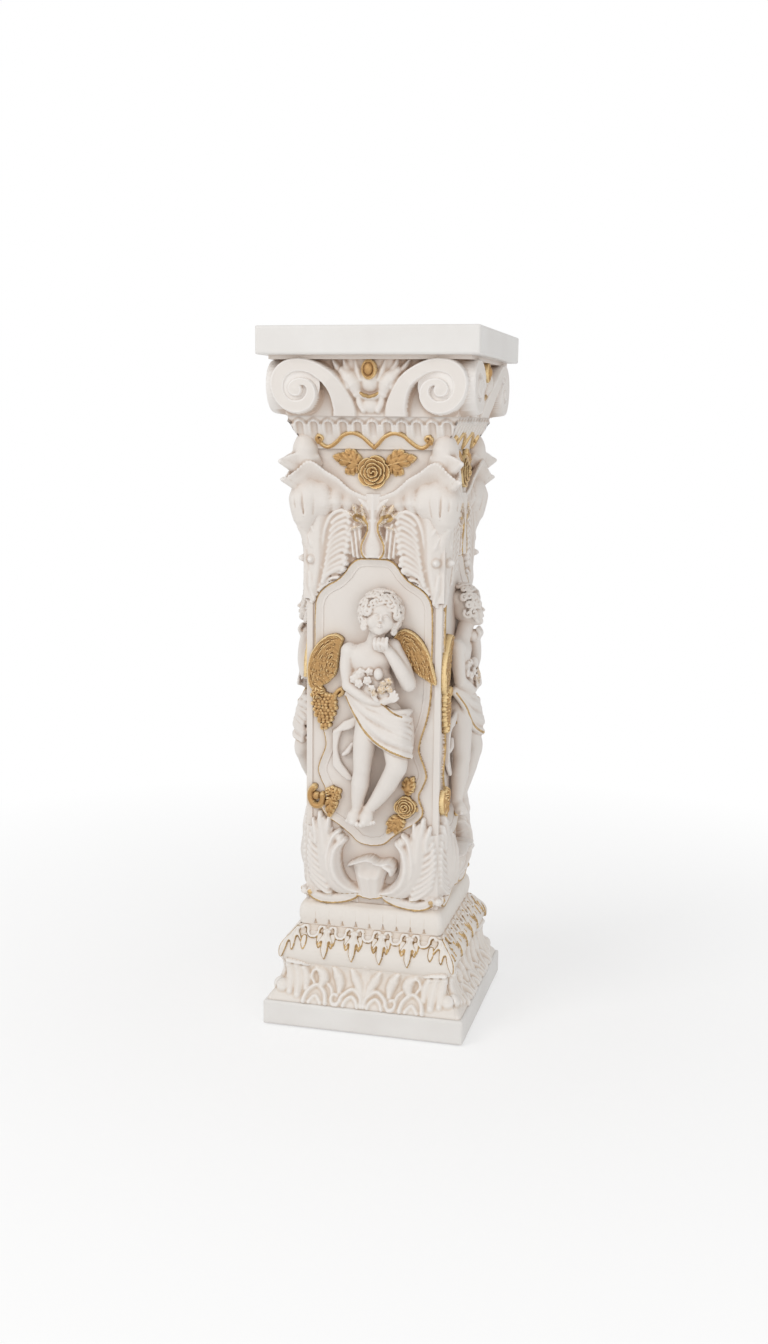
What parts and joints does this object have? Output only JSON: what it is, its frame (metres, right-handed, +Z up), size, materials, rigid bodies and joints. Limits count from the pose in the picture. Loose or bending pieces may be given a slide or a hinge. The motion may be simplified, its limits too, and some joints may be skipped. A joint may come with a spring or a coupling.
{
  "type": "pedestal column",
  "caption": "Square column pedestal in the baroque manner: relief panels with a winged child, volute capital, moulded base and plain slabs, for standing a vase or bust on.",
  "frame": {"origin": "on the floor at the middle of the foot", "axes": "+Z up along the column, the front face towards -Y, +X to the right of the front face"},
  "size_m": [0.25, 0.25, 0.8051],
  "materials": {
    "resin_antique": "matt cast resin, white with a warm antique wash in the recesses and gold lining",
    "gold_paint": "metallic gold paint on cast resin, slightly worn",
    "slab_resin": "smooth matt off-white",
    "steel": "zinc-plated rod, nuts and washers",
    "dowel_wood": "plain beech dowel",
    "felt": "grey felt"
  },
  "bodies": {
    "root": {"felt_pads": "felt", "plinth_slab": "slab_resin", "base_casting": "resin_antique", "base_lobes": "resin_antique", "leaf_drops": "resin_antique", "gadroon_torus": "resin_antique", "shaft_panel_front": "resin_antique", "shaft_panel_right": "resin_antique", "shaft_panel_back": "resin_antique", "shaft_panel_left": "resin_antique", "frame_front": "resin_antique", "frame_right": "resin_antique", "frame_back": "resin_antique", "frame_left": "resin_antique", "foot_leaves_front": "resin_antique", "foot_leaves_right": "resin_antique", "foot_leaves_back": "resin_antique", "foot_leaves_left": "resin_antique", "cherub_front": "resin_antique", "cherub_right": "resin_antique", "cherub_back": "resin_antique", "cherub_left": "resin_antique", "wings_front": "gold_paint", "wings_right": "gold_paint", "wings_back": "gold_paint", "wings_left": "gold_paint", "gilt_fruit_front": "gold_paint", "gilt_fruit_right": "gold_paint", "gilt_fruit_back": "gold_paint", "gilt_fruit_left": "gold_paint", "crest_front": "resin_antique", "crest_right": "resin_antique", "crest_back": "resin_antique", "crest_left": "resin_antique", "neck_bell": "resin_antique", "corner_leaves_a": "resin_antique", "corner_leaves_b": "resin_antique", "corner_leaves_c": "resin_antique", "corner_leaves_d": "resin_antique", "rose_spray_front": "gold_paint", "rose_spray_right": "gold_paint", "rose_spray_back": "gold_paint", "rose_spray_left": "gold_paint", "fluted_band": "resin_antique", "swag_rails": "gold_paint", "capital_core": "resin_antique", "volutes_front": "resin_antique", "volutes_right": "resin_antique", "volutes_back": "resin_antique", "volutes_left": "resin_antique", "gems": "gold_paint", "top_slab": "slab_resin", "slab_dowels": "dowel_wood", "tie_rod": "steel", "tie_nuts": "steel", "tie_washers": "steel"}
  },
  "joints": []
}
